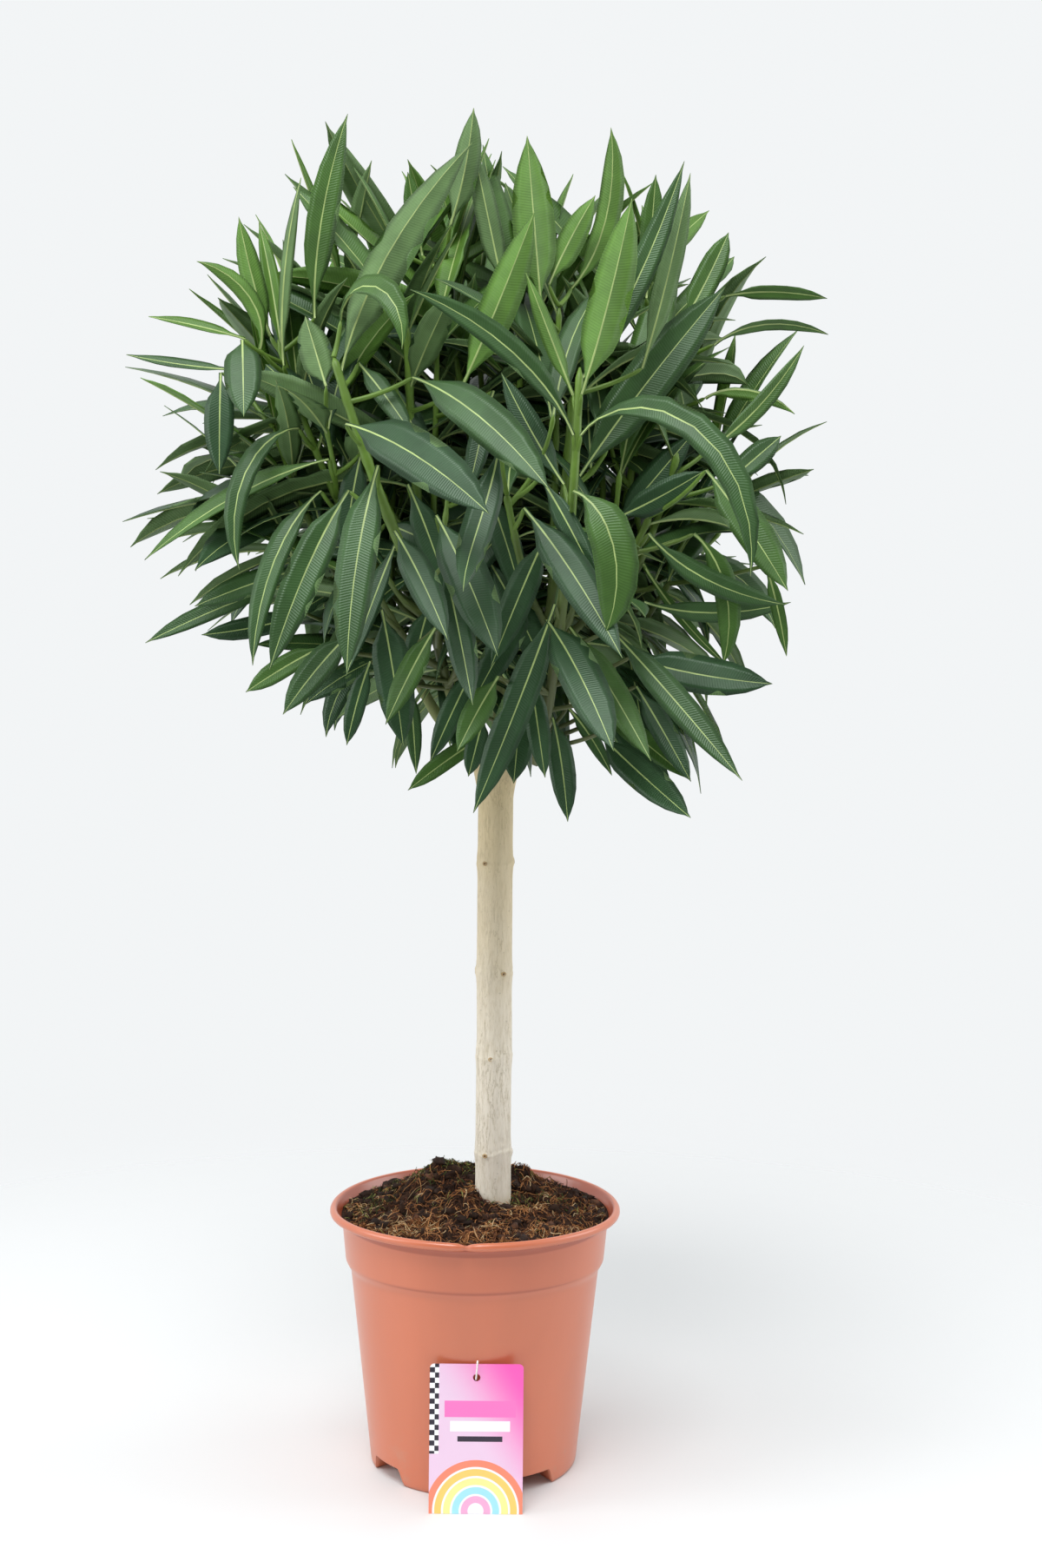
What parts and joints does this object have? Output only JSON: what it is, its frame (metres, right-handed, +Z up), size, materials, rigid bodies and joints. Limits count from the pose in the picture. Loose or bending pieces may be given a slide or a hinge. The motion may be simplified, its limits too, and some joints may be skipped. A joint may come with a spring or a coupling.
{
  "type": "potted oleander standard",
  "caption": "Evergreen shrub grown as a small standard: a bare straight trunk in a round plastic nursery pot, with a ball-shaped crown of long lance-shaped leaves.",
  "frame": {"origin": "on the pot's axis, at the level of the surface that the pot stands on", "axes": "+Z up along the pot's axis, -Y towards the side with the label, +X to the right seen from there"},
  "size_m": [0.4714, 0.4868, 0.9296],
  "materials": {
    "pot": "terracotta-coloured, slightly shiny",
    "soil": "damp, coarse and fibrous",
    "bark": "pale, dry, with fine upright cracks",
    "bough": "young greenish-brown bark",
    "foliage": "leathery leaves with a soft shine",
    "label": "smooth printed card",
    "label_loop": "plain white"
  },
  "bodies": {
    "root": {"pot": "pot", "soil": "soil", "trunk": "bark", "bough_right": "bough", "bough_back_right": "bough", "bough_back_left": "bough", "bough_left": "bough", "bough_front_left": "bough", "bough_front_right": "bough", "bough_top": "bough", "foliage_right": "foliage", "foliage_back_right": "foliage", "foliage_back_left": "foliage", "foliage_left": "foliage", "foliage_front_left": "foliage", "foliage_front_right": "foliage", "foliage_top": "foliage", "label": "label", "label_loop": "label_loop"}
  },
  "joints": []
}
